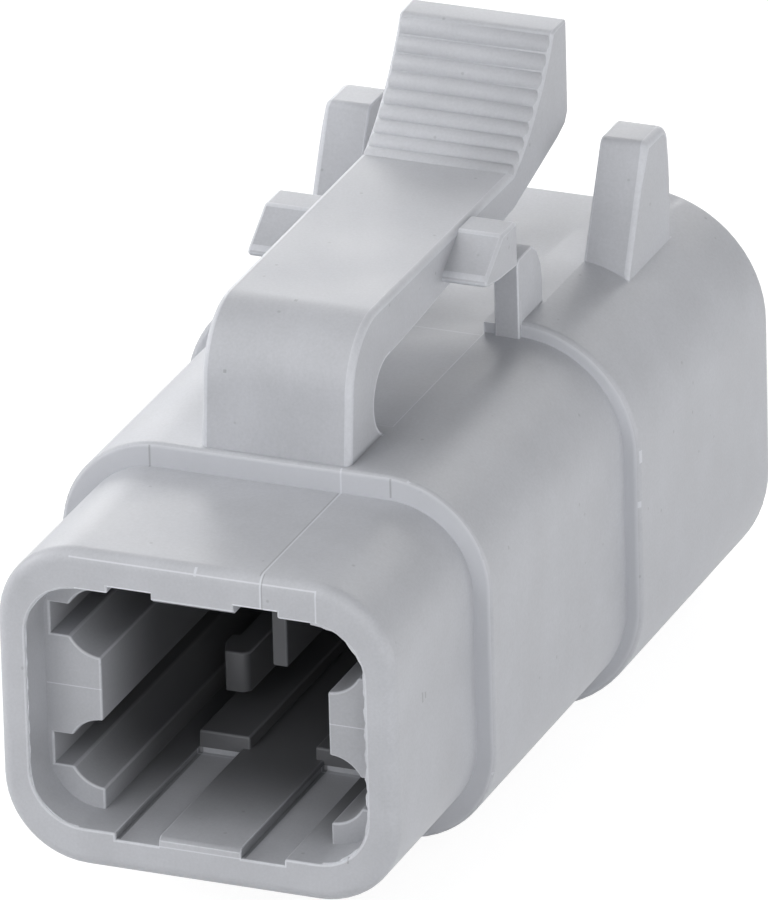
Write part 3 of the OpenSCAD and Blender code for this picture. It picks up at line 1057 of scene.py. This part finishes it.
class PLUG_OT_studio(bpy.types.Operator):
    """Set up the pale floor, the white surroundings and the soft lamps"""

    bl_idname = "plug.studio"
    bl_label = "Studio"

    def execute(self, context):
        bpy.ops.object.select_all(action="DESELECT")
        bpy.ops.mesh.primitive_plane_add(size=6, location=(0, 0, FLOOR_Z * MM))
        floor = context.active_object
        floor.name = "floor"
        bpy.ops.object.transform_apply(location=True, rotation=True, scale=True)
        material = bpy.data.materials.new("floor_white")
        material.use_nodes = True
        tree = material.node_tree
        shader = tree.nodes["Principled BSDF"]
        shader.inputs["Base Color"].default_value = (0.8, 0.8, 0.8, 1)
        shader.inputs["Roughness"].default_value = 0.9
        shader.inputs["Specular IOR Level"].default_value = 0.1
        out = white_for_camera(tree, shader.outputs[0], *FLOOR_WHITE)
        tree.links.new(out, tree.nodes["Material Output"].inputs["Surface"])
        floor.data.materials.append(material)

        world = bpy.data.worlds.new("studio")
        context.scene.world = world
        world.use_nodes = True
        tree = world.node_tree
        back = tree.nodes["Background"]
        back.inputs["Color"].default_value = SKY_COLOUR
        back.inputs["Strength"].default_value = SKY_STRENGTH
        out = white_for_camera(tree, back.outputs[0], 1)
        tree.links.new(out, tree.nodes["World Output"].inputs["Surface"])

        for row in LAMPS:
            add_lamp(*row)
        return {"FINISHED"}


class PLUG_OT_camera(bpy.types.Operator):
    """Set up the camera at the view of the product picture"""

    bl_idname = "plug.camera"
    bl_label = "Camera"

    def execute(self, context):
        data = bpy.data.cameras.new("camera")
        data.sensor_width = 36
        data.sensor_fit = "AUTO"
        data.lens = LENS
        data.clip_start = 0.01
        data.clip_end = 10
        camera = bpy.data.objects.new("camera", data)
        turn = Matrix(CAMERA_TURN).to_4x4()
        turn.translation = Vector(CAMERA_PLACE) * MM
        camera.matrix_world = turn
        context.scene.collection.objects.link(camera)
        context.scene.camera = camera
        return {"FINISHED"}


class PLUG_PT_panel(bpy.types.Panel):
    """Lists the steps that build the plug"""

    bl_label = "Connector plug"
    bl_idname = "PLUG_PT_panel"
    bl_space_type = "VIEW_3D"
    bl_region_type = "UI"
    bl_category = "Plug"

    def draw(self, context):
        for group in (context.scene.plug_sizes, context.scene.plug_colours):
            for key in group.bl_rna.properties.keys():
                if key not in ("rna_type", "name"):
                    self.layout.prop(group, key)
        for step in STEPS:
            self.layout.operator(step.bl_idname)


STEPS = (
    PLUG_OT_housing_shell,
    PLUG_OT_latch_lever,
    PLUG_OT_wire_seal,
    PLUG_OT_seal_retainer,
    PLUG_OT_studio,
    PLUG_OT_camera,
)
CLASSES = (PlugSizes, PlugColours, *STEPS, PLUG_PT_panel)


def register():
    """Register the classes and hang the values on the scene."""
    for cls in CLASSES:
        bpy.utils.register_class(cls)
    bpy.types.Scene.plug_sizes = bpy.props.PointerProperty(type=PlugSizes)
    bpy.types.Scene.plug_colours = bpy.props.PointerProperty(type=PlugColours)


def unregister():
    """Take all of it back."""
    del bpy.types.Scene.plug_colours
    del bpy.types.Scene.plug_sizes
    for cls in reversed(CLASSES):
        bpy.utils.unregister_class(cls)


def main():
    """Build the plug and its studio."""
    register()
    bpy.context.scene.view_settings.view_transform = "Standard"
    bpy.ops.plug.housing_shell()
    bpy.ops.plug.latch_lever()
    bpy.ops.plug.wire_seal()
    bpy.ops.plug.seal_retainer()
    bpy.ops.plug.studio()
    bpy.ops.plug.camera()


if __name__ == "__main__":
    main()
